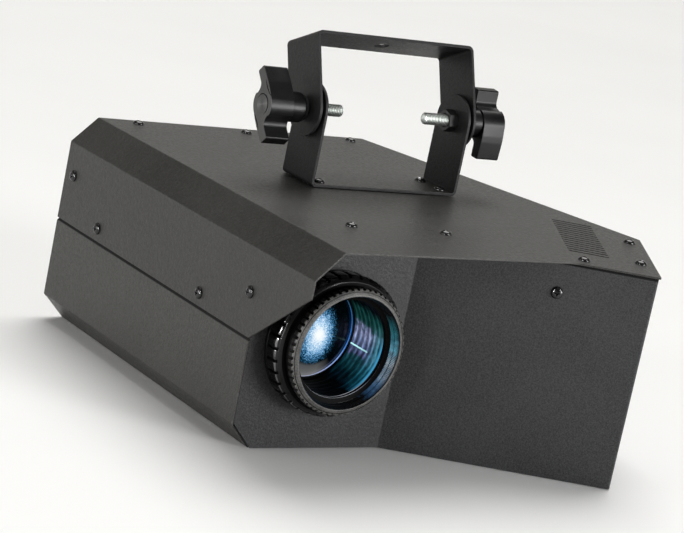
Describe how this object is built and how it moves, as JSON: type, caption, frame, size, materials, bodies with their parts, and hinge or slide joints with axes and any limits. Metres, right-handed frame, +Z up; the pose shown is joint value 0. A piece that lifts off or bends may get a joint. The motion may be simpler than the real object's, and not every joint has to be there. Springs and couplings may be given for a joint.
{
  "type": "led flower effect light",
  "caption": "LED stage effect light: folded black sheet-metal housing with a recessed focusing lens, vented wing, rear controls and a tilting hanging bracket clamped by wing bolts.",
  "frame": {"origin": "on the underside's plane, below the centre of the object's box", "axes": "-Y out of the lens, +X towards the vented wing as seen from the front's right, +Z up through the bracket"},
  "size_m": [0.2976, 0.338, 0.238],
  "materials": {
    "housing_coat": "black textured powder coat",
    "front_coat": "black fine-grain powder coat",
    "bracket_coat": "black satin powder coat",
    "screw_steel": "glossy black finish on steel",
    "knob_nylon": "moulded black nylon",
    "zinc_steel": "bright zinc plate",
    "lens_tube": "satin black",
    "front_ring_grey": "dark grey fine texture",
    "coated_glass": "coated optical glass",
    "aluminium": "mill finish",
    "circuit_board": "green solder mask",
    "friction_rubber": "matt black",
    "motor_steel": "zinc plate",
    "moulded_black": "fine-textured black"
  },
  "bodies": {
    "housing": {"top_cover": "housing_coat", "base_tray": "housing_coat", "rear_panel": "housing_coat", "front_panel": "front_coat", "cover_screw_rear_left": "screw_steel", "cover_screw_rear_mid": "screw_steel", "cover_screw_rear_right": "screw_steel", "cover_screw_front_left": "screw_steel", "cover_screw_front_mid": "screw_steel", "cover_screw_vent": "screw_steel", "cover_screw_tip": "screw_steel", "cover_screw_corner": "screw_steel", "side_screw_rear_upper": "screw_steel", "side_screw_rear_lower": "screw_steel", "side_screw_front_lower": "screw_steel", "side_screw_front_upper": "screw_steel", "bracket_screw_front_left": "screw_steel", "bracket_screw_rear_left": "screw_steel", "bracket_screw_front_right": "screw_steel", "bracket_screw_rear_right": "screw_steel", "wing_panel_screw": "screw_steel", "lower_bracket": "bracket_coat", "left_weld_nut": "bracket_coat", "right_weld_nut": "bracket_coat", "left_friction_disc": "friction_rubber", "right_friction_disc": "friction_rubber", "lens_mount": "lens_tube", "condenser_lens": "coated_glass", "optics_frame": "aluminium", "led_heatsink": "aluminium", "psu_bracket": "aluminium", "wheel_motor": "motor_steel", "led_board": "circuit_board", "power_supply": "circuit_board", "control_board": "circuit_board", "fan_frame": "moulded_black", "display_window": "moulded_black", "mains_inlet": "moulded_black", "dmx_in_socket": "moulded_black", "dmx_out_socket": "moulded_black"},
    "upper_bracket": {"upper_bracket": "bracket_coat"},
    "left_washer_body": {"left_washer": "friction_rubber"},
    "left_wing_bolt": {"left_wing_knob": "knob_nylon", "left_threaded_stud": "zinc_steel"},
    "right_washer_body": {"right_washer": "friction_rubber"},
    "right_wing_bolt": {"right_wing_knob": "knob_nylon", "right_threaded_stud": "zinc_steel"},
    "focus_ring_body": {"focus_ring": "lens_tube"},
    "lens_barrel_body": {"lens_barrel": "lens_tube", "front_ring": "front_ring_grey", "objective_lens": "coated_glass", "lens_retaining_ring": "lens_tube"},
    "effect_wheel_body": {"effect_wheel": "aluminium"},
    "fan_rotor_body": {"fan_rotor": "moulded_black"},
    "button_mode_body": {"button_mode": "moulded_black"},
    "button_down_body": {"button_down": "moulded_black"},
    "button_up_body": {"button_up": "moulded_black"},
    "button_enter_body": {"button_enter": "moulded_black"},
    "dmx_latch_body": {"dmx_out_latch": "motor_steel"}
  },
  "joints": [
    {"name": "bracket_tilt", "type": "hinge", "parent": "housing", "child": "upper_bracket", "pos_m": [0.00034, 0.02375, 0.1873], "axis": [1, 0, 0], "range_deg": [-106.5, 153.5]},
    {"name": "left_washer_travel", "type": "slide", "parent": "housing", "child": "left_washer_body", "axis": [-1, 0, 0], "range_m": [-0.0021, 0.0029]},
    {"name": "left_knob_turn", "type": "hinge", "parent": "left_washer_body", "child": "left_wing_bolt", "pos_m": [0.00034, 0.02375, 0.1873], "axis": [-1, 0, 0], "range_deg": [-605.2, 835.6]},
    {"name": "right_washer_travel", "type": "slide", "parent": "housing", "child": "right_washer_body", "axis": [1, 0, 0], "range_m": [0, 0.005]},
    {"name": "right_knob_turn", "type": "hinge", "parent": "right_washer_body", "child": "right_wing_bolt", "pos_m": [0.00034, 0.02375, 0.1873], "axis": [1, 0, 0], "range_deg": [0, 1440.4]},
    {"name": "focus_ring_turn", "type": "hinge", "parent": "housing", "child": "focus_ring_body", "pos_m": [-0.09031, -0.10055, 0.07], "axis": [0, -1, 0], "range_deg": [-60, 60]},
    {"name": "lens_barrel_travel", "type": "slide", "parent": "housing", "child": "lens_barrel_body", "axis": [0, -1, 0], "range_m": [-0.00401, 0.00401]},
    {"name": "effect_wheel_spin", "type": "hinge", "parent": "housing", "child": "effect_wheel_body", "pos_m": [-0.05131, -0.04805, 0.07], "axis": [0, -1, 0], "continuous": true},
    {"name": "fan_spin", "type": "hinge", "parent": "housing", "child": "fan_rotor_body", "pos_m": [-0.09031, 0.03405, 0.07], "axis": [0, 1, 0], "continuous": true},
    {"name": "button_mode_press", "type": "slide", "parent": "housing", "child": "button_mode_body", "axis": [0, -1, 0], "range_m": [0, 0.0008], "stiffness_N_per_m": 600},
    {"name": "button_down_press", "type": "slide", "parent": "housing", "child": "button_down_body", "axis": [0, -1, 0], "range_m": [0, 0.0008], "stiffness_N_per_m": 600},
    {"name": "button_up_press", "type": "slide", "parent": "housing", "child": "button_up_body", "axis": [0, -1, 0], "range_m": [0, 0.0008], "stiffness_N_per_m": 600},
    {"name": "button_enter_press", "type": "slide", "parent": "housing", "child": "button_enter_body", "axis": [0, -1, 0], "range_m": [0, 0.0008], "stiffness_N_per_m": 600},
    {"name": "dmx_latch_press", "type": "slide", "parent": "housing", "child": "dmx_latch_body", "axis": [0, -1, 0], "range_m": [0, 0.0012], "stiffness_N_per_m": 800}
  ],
  "couplings": [
    {"joint": "left_knob_turn", "follows": "left_washer_travel", "rad_per_m": 5026.5},
    {"joint": "right_knob_turn", "follows": "right_washer_travel", "rad_per_m": 5026.5},
    {"joint": "lens_barrel_travel", "follows": "focus_ring_turn", "m_per_rad": 0.0038197}
  ]
}
